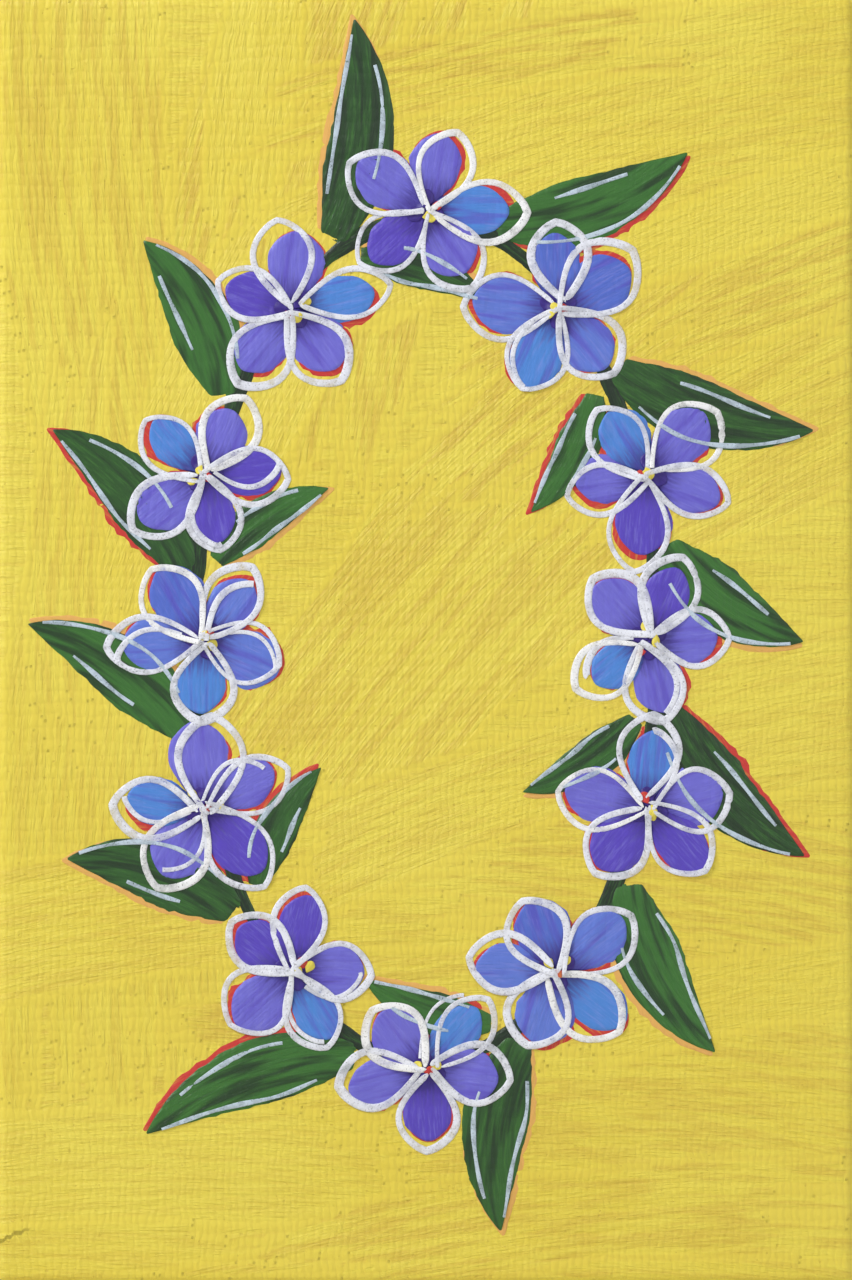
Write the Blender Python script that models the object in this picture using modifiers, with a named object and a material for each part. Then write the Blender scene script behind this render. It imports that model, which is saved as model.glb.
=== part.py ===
"""Stretched canvas painting, 100 x 150 mm.

Plain-weave cloth is wrapped round a keyed softwood stretcher and stapled behind.
Its face carries an acrylic painting: a plain brushed ground, and on it an oval
wreath of strap leaves and five-petalled blossoms.

Frame: the origin is the middle of the bottom edge, +Z is up, the painted face
looks along -Y, and +X is to the right of someone who looks at the painting.
Sizes are in millimetres and become metres as each mesh is made.
"""

import math

import bmesh
import bpy
from mathutils import Matrix

MM = 0.001

# Canvas and stretcher
FACE_W = 100.0
FACE_H = 150.0
CLOTH = 0.6
ARRIS_R = 1.2          # rounding of the cloth over the stretcher's edges
TURNOVER = 12.0        # cloth folded in behind the bars
GAP = 0.3              # room kept between pieces that touch
BAR_W = 15.0
BAR_D = 14.0
LIP_W = 2.5            # outer lip that carries the cloth
LIP_RISE = 1.8         # how far the bar's face falls away behind the lip
CHAMFER = 0.5

# Corner joints: each bar end has a tongue in one layer and a groove in the other
LAYER_Y = 1.9          # middle of each layer, in front of or behind the middle
TONGUE_T = 3.0
TONGUE_TIP = 2.1       # from the tongue's tip to the stretcher's outer face
TONGUE_TOP = 3.1       # from the tongue's outer edge to the bar's outer face
TONGUE_FOOT = 14.5     # from the tongue's inner edge to the bar's outer face
GROOVE_WALL = 1.8      # wood left outside the groove
GROOVE_REACH = 19.1    # length of the groove, from the stretcher's outer face
KEY_L = 16.5
KEY_WIDE = 6.5
KEY_TIP = 1.0
KEY_SET = 7.6          # from the key's tip to the stretcher's outer face
RUN_OUT = 2.0          # how far a cutter passes the face that it leaves through

# Staples
CROWN = 10.0
WIRE_W = 0.7
WIRE_T = 0.5
LEG = 4.1
RAIL_STAPLES = (-34.0, -12.0, 12.0, 34.0)
STILE_STAPLES = (-30.0, 0.0, 30.0)
STAPLE_INSET = 6.0     # from the stretcher's outer face

# Paint films, laid one over another
GROUND_MARGIN = 1.0
GROUND_T = 0.25
VINE_T = 0.15
LEAF_T = 0.2
BLOSSOM_T = 0.3
FILM_GAP = 0.1

# Wreath
WREATH_HALF_W = 27.0
WREATH_HALF_H = 49.0
OVAL_EVENNESS = 0.14   # spreads equal turns to nearly equal steps along the oval
VINE_W = 1.8
BLOSSOMS = 12
BLOSSOM_R = 9.4
BLOSSOM_VARY = 0.5     # how much larger or smaller a blossom may be
BLOSSOM_SWAY = 1.1     # blossoms sit by turns outside and inside the oval
PETALS = 5
PETAL_WAIST = 0.34     # share of the radius between two petals
PETAL_ROUND = 0.55     # lower is rounder
PETAL_STEPS = 10
OUTER_LEAVES = 12
OUTER_LEAF = (22.0, 8.6, 62.0, -40.0)    # length, width, then lean and curl in degrees
OUTER_ROOT = (0.42, 1.5)                 # share of a step round the oval, mm outside it
INNER_LEAVES = 6
INNER_LEAF = (16.0, 5.6, 56.0, 34.0)
INNER_ROOT = (0.75, -2.0)
LEAF_VARY = 0.10
LEAF_END_GROWTH = 0.12 # leaves are longer by this share at the top and bottom
LEAF_FOOT = 0.34       # share of the full width at a leaf's foot
LEAF_BELLY = 0.45      # share of the length at which it is widest
LEAF_STEPS = 14

HALF_T = BAR_D / 2 + GAP + CLOTH         # middle of the stretcher to the cloth's face
REACH_X = FACE_W / 2 - CLOTH - GAP       # middle to the stretcher's outer faces
REACH_Z = FACE_H / 2 - CLOTH - GAP
CENTRE = Matrix.Translation((0, 0, FACE_H / 2 * MM))
BACK_Y = HALF_T + FILM_GAP               # inner face of the staples' crowns
UPRIGHT = Matrix.Rotation(math.radians(90), 4, "X")    # drawing plane to painted face

PAINTS = {
    "cloth": ((0.80, 0.77, 0.68), 0.85, 0.0),
    "pine": ((0.72, 0.53, 0.32), 0.60, 0.0),
    "staple_steel": ((0.62, 0.62, 0.63), 0.30, 1.0),
    "ground_yellow": ((0.74, 0.59, 0.07), 0.45, 0.0),
    "vine_green": ((0.012, 0.04, 0.010), 0.40, 0.0),
    "leaf_green": ((0.03, 0.13, 0.02), 0.40, 0.0),
    "leaf_dark": ((0.006, 0.02, 0.005), 0.40, 0.0),
    "petal_violet": ((0.14, 0.14, 0.60), 0.40, 0.0),
    "petal_deep": ((0.09, 0.05, 0.46), 0.40, 0.0),
}


# ---------------------------------------------------------------- building blocks

def paint(slot):
    """Principled material for one of the slots above."""
    material = bpy.data.materials.get(slot)
    if material:
        return material
    colour, roughness, metallic = PAINTS[slot]
    material = bpy.data.materials.new(slot)
    material.use_nodes = True
    shader = material.node_tree.nodes["Principled BSDF"]
    shader.inputs["Base Color"].default_value = (*colour, 1.0)
    shader.inputs["Roughness"].default_value = roughness
    shader.inputs["Metallic"].default_value = metallic
    return material


def place_mesh(name, mesh, home, slot=None):
    """Put a finished mesh into a collection as a named object."""
    obj = bpy.data.objects.new(name, mesh)
    if slot:
        mesh.materials.append(paint(slot))
    else:
        obj.hide_render = True
        obj.display_type = "WIRE"
    home.objects.link(obj)
    return obj


def block_mesh(name, boxes):
    """Mesh of axis-aligned blocks, each given by its low and high corner."""
    bm = bmesh.new()
    for low, high in boxes:
        size = [(b - a) * MM for a, b in zip(low, high)]
        middle = [(a + b) / 2 * MM for a, b in zip(low, high)]
        matrix = Matrix.Translation(middle) @ Matrix.Diagonal((*size, 1.0))
        bmesh.ops.create_cube(bm, size=1.0, matrix=matrix)
    mesh = bpy.data.meshes.new(name)
    bm.to_mesh(mesh)
    bm.free()
    return mesh


def outline_mesh(name, loops, thickness, place):
    """Solid of a flat outline: a filled 2D curve, extruded and made a mesh."""
    curve = bpy.data.curves.new(name, "CURVE")
    curve.dimensions = "2D"
    curve.fill_mode = "BOTH"
    curve.extrude = thickness / 2 * MM
    for loop in loops:
        spline = curve.splines.new("POLY")
        spline.points.add(len(loop) - 1)
        for point, (x, y) in zip(spline.points, loop):
            point.co = (x * MM, y * MM, 0, 1)
        spline.use_cyclic_u = True
    guide = bpy.data.objects.new(name, curve)
    bpy.context.scene.collection.objects.link(guide)
    bpy.context.view_layer.update()
    evaluated = guide.evaluated_get(bpy.context.evaluated_depsgraph_get())
    mesh = bpy.data.meshes.new_from_object(evaluated)
    bpy.data.objects.remove(guide)
    bm = bmesh.new()
    bm.from_mesh(mesh)
    bmesh.ops.remove_doubles(bm, verts=bm.verts, dist=1e-6)
    bmesh.ops.transform(bm, matrix=place, verts=bm.verts)
    bm.to_mesh(mesh)
    bm.free()
    mesh.materials.clear()
    return mesh


def bevel(obj, width, segments):
    modifier = obj.modifiers.new("rounding", "BEVEL")
    modifier.width = width * MM
    modifier.segments = segments


def combine(obj, tool, operation):
    modifier = obj.modifiers.new(tool.name, "BOOLEAN")
    modifier.operation = operation
    modifier.object = tool
    modifier.solver = "EXACT"


# ---------------------------------------------------------------- stretcher

def bar_places():
    """Each bar's name, half length, staples and place.

    A bar's own frame has X along the bar, +Z out of the stretcher and its origin
    on the bar's outer face.
    """
    bars = {}
    for name, quarter, half, reach, staples in (
        ("top_rail", 0, REACH_X, REACH_Z, RAIL_STAPLES),
        ("right_stile", 1, REACH_Z, REACH_X, STILE_STAPLES),
        ("bottom_rail", 2, REACH_X, REACH_Z, RAIL_STAPLES),
        ("left_stile", 3, REACH_Z, REACH_X, STILE_STAPLES),
    ):
        turn = Matrix.Rotation(math.radians(90 * quarter), 4, "Y")
        bars[name] = (half, staples, CENTRE @ turn @ Matrix.Translation((0, 0, reach * MM)))
    return bars


def layers(name):
    """Y of a bar's tongue layer and of its groove layer; stiles swap the two."""
    return (-LAYER_Y, LAYER_Y) if name.endswith("rail") else (LAYER_Y, -LAYER_Y)


def bar_mesh(name, half):
    """Mitred bar: its section drawn across the bar, extruded, its ends slanted."""
    front, back = -BAR_D / 2, BAR_D / 2
    section = [
        (0, front), (LIP_W, front), (BAR_W, front + LIP_RISE),
        (BAR_W, back - CHAMFER), (BAR_W - CHAMFER, back), (0, back),
    ]
    across = Matrix.Rotation(math.radians(90), 4, "Y")
    mesh = outline_mesh(name, [section], 2 * half, across)
    mitre_gap = GAP / 2 * math.sqrt(2)
    for vertex in mesh.vertices:
        inset = -vertex.co.z + mitre_gap * MM
        vertex.co.x -= math.copysign(inset, vertex.co.x)
    return mesh


def end_boxes(half, layer_y, thickness, near, far, shallow, deep):
    """Matching blocks at a bar's two ends.

    near and far are distances in from the stretcher's outer face at that end,
    shallow and deep are depths below the bar's own outer face.
    """
    y0, y1 = layer_y - thickness / 2, layer_y + thickness / 2
    right = ((half - far, y0, -deep), (half - near, y1, -shallow))
    left = ((near - half, y0, -deep), (far - half, y1, -shallow))
    return [right, left]


def make_bars(home, shop, holes):
    for name, (half, _, place) in bar_places().items():
        tongue_y, groove_y = layers(name)
        bar = place_mesh(name, bar_mesh(name, half), home, "pine")
        grooves = end_boxes(half, groove_y, TONGUE_T + 2 * GAP, -RUN_OUT, GROOVE_REACH,
                            GROOVE_WALL, BAR_W + RUN_OUT)
        tongues = end_boxes(half, tongue_y, TONGUE_T, TONGUE_TIP, GROOVE_REACH,
                            TONGUE_TOP, TONGUE_FOOT)
        for label, boxes, operation in (("groove", grooves, "DIFFERENCE"),
                                        ("tongue", tongues, "UNION")):
            tool = place_mesh(f"{name}_{label}", block_mesh(label, boxes), shop)
            tool.matrix_world = place
            combine(bar, tool, operation)
        bar.matrix_world = place
        combine(bar, holes, "DIFFERENCE")


def make_keys(home):
    """Wedges driven into the grooves along the inner edge of every bar end."""
    top = -(BAR_W + GAP)
    for name, (half, _, place) in bar_places().items():
        tip = half - KEY_SET
        wedge = [(tip - KEY_L, top), (tip - KEY_L, top - KEY_WIDE),
                 (tip, top - KEY_TIP), (tip, top)]
        for end, side in ((1, "a"), (-1, "b")):
            loop = [(end * x, z) for x, z in wedge]
            seat = place @ Matrix.Translation((0, layers(name)[0] * MM, 0)) @ UPRIGHT
            label = f"key_{name}_{side}"
            place_mesh(label, outline_mesh(label, [loop], TONGUE_T, seat), home, "pine")


def staple_places():
    """Every staple's place: its own X runs along the crown, +Y out of the back."""
    places = []
    for _, staples, place in bar_places().values():
        places += [place @ Matrix.Translation((along * MM, 0, -STAPLE_INSET * MM))
                   for along in staples]
    return places


def make_staples(home):
    outer, inner = CROWN / 2, CROWN / 2 - WIRE_T
    foot, crown = BACK_Y - LEG, BACK_Y
    loop = [(-outer, foot), (-inner, foot), (-inner, crown), (inner, crown),
            (inner, foot), (outer, foot), (outer, crown + WIRE_T), (-outer, crown + WIRE_T)]
    for number, place in enumerate(staple_places(), 1):
        name = f"staple_{number:02d}"
        place_mesh(name, outline_mesh(name, [loop], WIRE_W, place), home, "staple_steel")


def staple_holes(shop):
    """Cutter for the holes that the staples' legs stand in."""
    middle, half_leg, half_wire = CROWN / 2 - WIRE_T / 2, WIRE_T / 2 + GAP, WIRE_W / 2 + GAP
    bm = bmesh.new()
    for place in staple_places():
        boxes = [((x - half_leg, BACK_Y - LEG - GAP, -half_wire),
                  (x + half_leg, BACK_Y + RUN_OUT, half_wire)) for x in (-middle, middle)]
        pair = block_mesh("legs", boxes)
        pair.transform(place)
        bm.from_mesh(pair)
    mesh = bpy.data.meshes.new("staple_holes")
    bm.to_mesh(mesh)
    bm.free()
    return place_mesh("staple_holes", mesh, shop)


# ---------------------------------------------------------------- cloth

def make_canvas(home, shop, holes):
    """Cloth on the face and edges, turned in behind, open over the stretcher."""
    half_w, top = FACE_W / 2, FACE_H
    shell = block_mesh("canvas", [((-half_w, -HALF_T, 0), (half_w, HALF_T, top))])
    canvas = place_mesh("canvas", shell, home, "cloth")
    bevel(canvas, ARRIS_R, 3)
    inside = ((CLOTH - half_w, CLOTH - HALF_T, CLOTH), (half_w - CLOTH, HALF_T - CLOTH, top - CLOTH))
    cavity = place_mesh("cavity", block_mesh("cavity", [inside]), shop)
    bevel(cavity, ARRIS_R - CLOTH, 2)
    combine(canvas, cavity, "DIFFERENCE")
    behind = ((TURNOVER - half_w, 0, TURNOVER), (half_w - TURNOVER, 2 * HALF_T, top - TURNOVER))
    window = place_mesh("window", block_mesh("window", [behind]), shop)
    combine(canvas, window, "DIFFERENCE")
    combine(canvas, holes, "DIFFERENCE")


# ---------------------------------------------------------------- painting

def film_place(floor, thickness):
    """Place of a film whose underside lies that far in front of the cloth."""
    y = -(HALF_T + floor + thickness / 2)
    return Matrix.Translation((0, y * MM, 0)) @ UPRIGHT


def wreath_point(turn, off):
    """Point on the oval, turn from 0 to 1 clockwise from the top, and its outward heading."""
    even = 2 * math.pi * turn
    angle = even + OVAL_EVENNESS * math.sin(2 * even)
    across, up = math.sin(angle), math.cos(angle)
    heading = math.atan2(across / WREATH_HALF_W, up / WREATH_HALF_H)
    x = WREATH_HALF_W * across + off * math.sin(heading)
    z = FACE_H / 2 + WREATH_HALF_H * up + off * math.cos(heading)
    return x, z, heading


def leaf_outline(root, heading, length, width, curl):
    """Strap leaf: a narrow foot, full width by the middle, tapering to a point."""
    x, z = root
    right, left = [], []
    step = length / LEAF_STEPS
    for i in range(LEAF_STEPS + 1):
        along = i / LEAF_STEPS
        rise = math.sin(min(1, along / LEAF_BELLY) * math.pi / 2)
        swell = LEAF_FOOT + (1 - LEAF_FOOT) * rise
        half = width / 2 * swell * (1 - along ** 3)
        angle = heading + curl * along
        right.append((x + half * math.cos(angle), z - half * math.sin(angle)))
        left.append((x - half * math.cos(angle), z + half * math.sin(angle)))
        ahead = heading + curl * (along + 0.5 / LEAF_STEPS)
        x += step * math.sin(ahead)
        z += step * math.cos(ahead)
    return left[:-1] + right[::-1]


def blossom_outline(centre, radius, turn):
    """Round petals that meet at narrow waists."""
    points = []
    for i in range(PETALS * PETAL_STEPS):
        angle = 2 * math.pi * i / (PETALS * PETAL_STEPS)
        lobe = abs(math.cos(PETALS * angle / 2)) ** PETAL_ROUND
        reach = radius * (PETAL_WAIST + (1 - PETAL_WAIST) * lobe)
        points.append((centre[0] + reach * math.sin(angle + turn),
                       centre[1] + reach * math.cos(angle + turn)))
    return points[::-1]


def make_ground(home):
    half_w, front = FACE_W / 2 - GROUND_MARGIN, -(HALF_T + FILM_GAP)
    low = (-half_w, front - GROUND_T, GROUND_MARGIN)
    high = (half_w, front, FACE_H - GROUND_MARGIN)
    place_mesh("painted_ground", block_mesh("painted_ground", [(low, high)]), home, "ground_yellow")


def make_vine(home, floor):
    steps = 8 * BLOSSOMS
    loops = [[wreath_point(i / steps, off)[:2] for i in range(steps)]
             for off in (VINE_W / 2, -VINE_W / 2)]
    mesh = outline_mesh("painted_vine", loops, VINE_T, film_place(floor, VINE_T))
    place_mesh("painted_vine", mesh, home, "vine_green")


def make_leaves(home, floor):
    """Outer leaves sweep forward round the oval, inner ones point back into it."""
    place = film_place(floor, LEAF_T)
    slots = ("leaf_green", "leaf_dark")
    length, width, lean, curl = OUTER_LEAF
    for k in range(OUTER_LEAVES):
        x, z, heading = wreath_point((k + OUTER_ROOT[0]) / OUTER_LEAVES, OUTER_ROOT[1])
        grown = length * (1 + LEAF_VARY * math.sin(2.4 * k))
        grown *= 1 + LEAF_END_GROWTH * abs(math.cos(heading))
        loop = leaf_outline((x, z), heading + math.radians(lean), grown, width, math.radians(curl))
        name = f"painted_leaf_{k + 1:02d}"
        place_mesh(name, outline_mesh(name, [loop], LEAF_T, place), home, slots[k % 2])
    length, width, lean, curl = INNER_LEAF
    for k in range(INNER_LEAVES):
        x, z, heading = wreath_point((k + INNER_ROOT[0]) / INNER_LEAVES, INNER_ROOT[1])
        inward = heading + math.pi - math.radians(lean)
        loop = leaf_outline((x, z), inward, length, width, math.radians(curl))
        name = f"painted_small_leaf_{k + 1}"
        place_mesh(name, outline_mesh(name, [loop], LEAF_T, place), home, slots[(k + 1) % 2])


def make_blossoms(home, floor):
    place = film_place(floor, BLOSSOM_T)
    for k in range(BLOSSOMS):
        x, z, _ = wreath_point(k / BLOSSOMS, BLOSSOM_SWAY * (-1) ** k)
        radius = BLOSSOM_R + BLOSSOM_VARY * math.sin(1.7 * k)
        loop = blossom_outline((x, z), radius, 0.9 * k + 0.2)
        name = f"painted_blossom_{k + 1:02d}"
        slot = "petal_deep" if k % 3 == 0 else "petal_violet"
        place_mesh(name, outline_mesh(name, [loop], BLOSSOM_T, place), home, slot)


# ---------------------------------------------------------------- assembly

def collection(name):
    made = bpy.data.collections.new(name)
    bpy.context.scene.collection.children.link(made)
    return made


def main():
    for old in list(bpy.data.objects):
        bpy.data.objects.remove(old)
    home = collection("stretched_canvas_painting")
    shop = collection("cutters")
    holes = staple_holes(shop)
    make_canvas(home, shop, holes)
    make_bars(home, shop, holes)
    make_keys(home)
    make_staples(home)
    make_ground(home)
    floor = FILM_GAP + GROUND_T + FILM_GAP
    make_vine(home, floor)
    floor += VINE_T + FILM_GAP
    make_leaves(home, floor)
    floor += LEAF_T + FILM_GAP
    make_blossoms(home, floor)


main()
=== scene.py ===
"""Looks of a small stretched canvas painting: cloth, brushed ground, wreath and stretcher."""

import math

import bmesh
import bpy
import numpy as np
from bpy.props import FloatProperty, FloatVectorProperty, IntProperty, PointerProperty
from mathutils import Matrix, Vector


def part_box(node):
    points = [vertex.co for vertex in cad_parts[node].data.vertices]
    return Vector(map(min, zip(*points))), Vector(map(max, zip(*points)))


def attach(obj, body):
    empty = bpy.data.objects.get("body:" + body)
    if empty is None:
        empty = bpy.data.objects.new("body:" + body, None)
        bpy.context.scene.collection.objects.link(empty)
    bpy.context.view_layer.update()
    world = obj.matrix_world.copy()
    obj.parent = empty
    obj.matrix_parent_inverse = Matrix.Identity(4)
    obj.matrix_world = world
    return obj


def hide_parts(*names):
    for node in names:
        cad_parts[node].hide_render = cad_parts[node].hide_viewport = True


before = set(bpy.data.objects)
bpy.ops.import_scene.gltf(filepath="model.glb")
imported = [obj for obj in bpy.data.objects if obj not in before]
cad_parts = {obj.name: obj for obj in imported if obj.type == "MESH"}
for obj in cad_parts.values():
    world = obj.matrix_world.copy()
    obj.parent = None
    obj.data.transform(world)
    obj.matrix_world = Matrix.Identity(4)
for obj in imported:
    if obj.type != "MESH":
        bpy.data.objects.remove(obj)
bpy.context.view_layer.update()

bl_info = {
    "name": "Stretched Canvas Painting",
    "version": (1, 0, 0),
    "blender": (4, 5, 0),
    "location": "View3D > Sidebar > Canvas",
    "description": "Paints and finishes a stretched canvas around its packed frame",
    "category": "Object",
}

MM = 0.001
CLOTH_LOW, CLOTH_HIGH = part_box("canvas")
HALF_W = (CLOTH_HIGH.x - CLOTH_LOW.x) / 2 / MM
HALF_H = (CLOTH_HIGH.z - CLOTH_LOW.z) / 2 / MM
HALF_T = (CLOTH_HIGH.y - CLOTH_LOW.y) / 2 / MM
ARRIS_R = 1.2
BARS = ("top_rail", "right_stile", "bottom_rail", "left_stile")
BODY = "root"
PETALS = 5
CAMERA_DISTANCE = 0.62
FACE_SHARE = 0.994

# Long strokes of the ground: middle, turn in degrees, half length, half width, tint
STROKES = (
    (-30, 30, 4, 60, 24, 0.55), (28, 22, -3, 55, 26, 0.5), (-36, 62, 84, 44, 15, 0.35),
    (-12, 128, 74, 34, 17, 0.75), (-40, 122, 96, 36, 10, 0.6), (22, 134, 16, 44, 13, 0.35),
    (34, 112, 24, 38, 12, 0.7), (26, 92, 30, 36, 10, 0.45), (-2, 74, 50, 26, 14, 0.6),
    (-26, 96, 68, 30, 9, 0.2), (-20, 140, 82, 16, 5, 0.1), (40, 66, 12, 30, 9, 0.3),
    (30, 48, -6, 34, 8, 0.65), (-30, 44, 8, 36, 8, 0.4), (36, 124, 20, 22, 4, 0.05),
    (-34, 14, 2, 34, 7, 0.25), (20, 8, 5, 38, 6, 0.6), (6, 142, 12, 26, 4.5, 0.85),
    (-8, 28, -7, 24, 5, 0.75), (38, 34, 10, 20, 5, 0.15), (14, 104, 40, 20, 5, 0.8),
    (-42, 86, 88, 22, 4, 0.5), (4, 56, 20, 20, 6, 0.4),
)

# The oval wreath, as the frame's films lie
WREATH_HALF_W = 27.0
WREATH_HALF_H = 49.0
OVAL_EVENNESS = 0.14
OVAL_RUN = 245.0
BLOSSOMS = 12
BLOSSOM_R = 9.4
OUTER_LEAF = (22.0, 8.6, 62.0, -40.0)
INNER_LEAF = (16.0, 5.6, 56.0, 34.0)


def linear(red, green, blue):
    """Linear colour from 0-255 display values."""
    def one(value):
        value /= 255
        return value / 12.92 if value <= 0.04045 else ((value + 0.055) / 1.055) ** 2.4
    return one(red), one(green), one(blue)


def colour_property(name, description, default):
    return FloatVectorProperty(name=name, description=description, default=default,
                               subtype="COLOR", size=3, min=0, max=1)


class CanvasSizes(bpy.types.PropertyGroup):
    """Sizes of the cloth and of the paint on it."""

    warp_pitch: FloatProperty(name="Warp pitch", description="Width of one upright thread",
                              default=0.00087, unit="LENGTH", precision=5)
    weft_pitch: FloatProperty(name="Weft pitch", description="Height of one level thread",
                              default=0.00147, unit="LENGTH", precision=5)
    turnover: FloatProperty(name="Turnover", description="Cloth folded in behind the bars",
                            default=0.012, unit="LENGTH", precision=4)
    paint_wrap: FloatProperty(name="Paint wrap", description="How far the ground runs over the edge",
                              default=0.0042, unit="LENGTH", precision=4)
    ground_step: FloatProperty(name="Ground step", description="Spacing of the ground's points",
                               default=0.00042, unit="LENGTH", precision=5)
    marker_width: FloatProperty(name="Marker width", description="Width of a white marker line",
                                default=0.00080, unit="LENGTH", precision=5)
    fray_threads: IntProperty(name="Fray threads", description="Loose threads on the cut edge",
                              default=260, min=0)
    seed: IntProperty(name="Seed", description="Start of every random draw", default=7)


class PaintColours(bpy.types.PropertyGroup):
    """Colours of the paints, cloth and wood."""

    yellow: colour_property("Yellow", "Ground paint", linear(228, 206, 70))
    ochre: colour_property("Ochre", "Thin, worn strokes of the ground", linear(210, 176, 66))
    lemon: colour_property("Lemon", "Thick, fresh strokes of the ground", linear(236, 220, 88))
    green: colour_property("Green", "Lit leaves", linear(50, 104, 38))
    dark_green: colour_property("Dark green", "Shaded leaves", linear(10, 34, 14))
    violet: colour_property("Violet", "Most petals", linear(108, 104, 206))
    deep_violet: colour_property("Deep violet", "Shaded petals", linear(84, 64, 184))
    blue: colour_property("Blue", "Cool petals", linear(74, 132, 212))
    indigo: colour_property("Indigo", "Blossom centres", linear(46, 22, 122))
    red: colour_property("Red", "Underpaint at the edges", linear(198, 52, 48))
    peach: colour_property("Peach", "Thin underpaint beside the leaves", linear(226, 172, 92))
    white: colour_property("White", "Marker lines", linear(234, 236, 246))
    pale_blue: colour_property("Pale blue", "Marker lines on leaves", linear(196, 212, 226))
    cloth: colour_property("Cloth", "Unprimed cotton", linear(226, 214, 190))
    primer: colour_property("Primer", "Primed edges", linear(240, 238, 230))
    pine: colour_property("Pine", "Stretcher bars", linear(222, 188, 138))


# ---------------------------------------------------------------- node helpers

class Tree:
    """Short calls that build a node tree."""

    def __init__(self, tree):
        self.tree = tree

    def add(self, kind, inputs=None, **settings):
        node = self.tree.nodes.new(kind)
        for key, value in settings.items():
            setattr(node, key, value)
        for key, value in (inputs or {}).items():
            socket = node.inputs[key]
            if isinstance(value, bpy.types.NodeSocket):
                self.tree.links.new(value, socket)
            else:
                socket.default_value = value
        return node

    def math(self, operation, a, b=0.0, clamp=False):
        return self.add("ShaderNodeMath", {0: a, 1: b}, operation=operation,
                        use_clamp=clamp).outputs[0]

    def blend(self, factor, a, b):
        """Mix two colours."""
        node = self.add("ShaderNodeMix", data_type="RGBA")
        for socket, value in zip((node.inputs[0], node.inputs[6], node.inputs[7]),
                                 (factor, a, b)):
            if isinstance(value, bpy.types.NodeSocket):
                self.tree.links.new(value, socket)
            else:
                socket.default_value = value
        return node.outputs[2]

    def mix(self, factor, a, b):
        """Mix two numbers."""
        step = self.math("SUBTRACT", b, a)
        return self.math("ADD", a, self.math("MULTIPLY", step, factor))

    def ease(self, value, start, end):
        """Smooth step from 0 at start to 1 at end."""
        node = self.add("ShaderNodeMapRange", {0: value, 1: start, 2: end},
                        interpolation_type="SMOOTHSTEP")
        return node.outputs[0]

    def noise(self, vector, scale, detail=2.0, roughness=0.5):
        return self.add("ShaderNodeTexNoise", {"Vector": vector, "Scale": scale,
                        "Detail": detail, "Roughness": roughness}).outputs["Fac"]

    def split(self, vector):
        node = self.add("ShaderNodeSeparateXYZ", {0: vector})
        return node.outputs

    def join(self, x, y, z=0.0):
        return self.add("ShaderNodeCombineXYZ", {0: x, 1: y, 2: z}).outputs[0]


def shader_group(name, inputs, outputs, build):
    """Shader node group with named sockets, built once."""
    group = bpy.data.node_groups.get(name)
    if group:
        return group
    group = bpy.data.node_groups.new(name, "ShaderNodeTree")
    for label, kind in inputs:
        group.interface.new_socket(label, in_out="INPUT", socket_type=kind)
    for label, kind in outputs:
        group.interface.new_socket(label, in_out="OUTPUT", socket_type=kind)
    tree = Tree(group)
    start = group.nodes.new("NodeGroupInput")
    end = group.nodes.new("NodeGroupOutput")
    for label, socket in build(tree, start.outputs).items():
        group.links.new(socket, end.inputs[label])
    return group


def weave_group():
    """Height of a plain weave, 0 in the holes to 1 on the thread crowns."""
    def build(tree, given):
        place = given["Place"]
        wander = tree.noise(place, 0.22, 2.0)
        x, z, _ = tree.split(place)
        drift = tree.math("MULTIPLY", tree.math("SUBTRACT", wander, 0.5), 1.5)
        x = tree.math("ADD", x, drift)
        z = tree.math("ADD", z, drift)
        warp = tree.math("SINE", tree.math("DIVIDE", tree.math("MULTIPLY", x, math.pi), given["Warp"]))
        weft = tree.math("SINE", tree.math("DIVIDE", tree.math("MULTIPLY", z, math.pi), given["Weft"]))
        over = tree.math("MULTIPLY", tree.math("MULTIPLY", warp, weft), 0.5)
        warp_share = tree.math("ADD", over, 0.5)
        weft_share = tree.math("SUBTRACT", 0.5, over)
        crowns = tree.math("ADD",
                           tree.math("MULTIPLY", tree.math("ABSOLUTE", warp), warp_share),
                           tree.math("MULTIPLY", tree.math("ABSOLUTE", weft), weft_share))
        return {"Height": crowns}
    return shader_group("Plain weave", [("Place", "NodeSocketVector"), ("Warp", "NodeSocketFloat"),
                                        ("Weft", "NodeSocketFloat")],
                        [("Height", "NodeSocketFloat")], build)


def streak_group():
    """Lengthwise bristle streaks along a shape, from its own flat coordinates."""
    def build(tree, given):
        u, v, w = tree.split(given["Place"])
        at = tree.join(tree.math("MULTIPLY", u, 0.11), v, w)
        fine = tree.noise(at, 3.2, 4.0, 0.6)
        broad = tree.noise(at, 0.9, 2.0, 0.5)
        return {"Fine": fine, "Broad": broad}
    return shader_group("Bristle streaks", [("Place", "NodeSocketVector")],
                        [("Fine", "NodeSocketFloat"), ("Broad", "NodeSocketFloat")], build)


def new_material(name, roughness, specular=0.5, metallic=0.0):
    material = bpy.data.materials.new(name)
    material.use_nodes = True
    tree = Tree(material.node_tree)
    shader = material.node_tree.nodes["Principled BSDF"]
    shader.inputs["Roughness"].default_value = roughness
    shader.inputs["Specular IOR Level"].default_value = specular
    shader.inputs["Metallic"].default_value = metallic
    return material, tree, shader


def bump(tree, shader, height):
    """Feed a height in millimetres to the shader's normal."""
    node = tree.add("ShaderNodeBump", {"Height": height, "Distance": MM})
    tree.tree.links.new(node.outputs["Normal"], shader.inputs["Normal"])


def face_place(tree):
    """Object coordinates in millimetres, as (across, up, depth)."""
    place = tree.add("ShaderNodeTexCoord").outputs["Object"]
    x, y, z = tree.split(place)
    return tree.join(tree.math("MULTIPLY", x, 1 / MM), tree.math("MULTIPLY", z, 1 / MM),
                     tree.math("MULTIPLY", y, 1 / MM))


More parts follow.
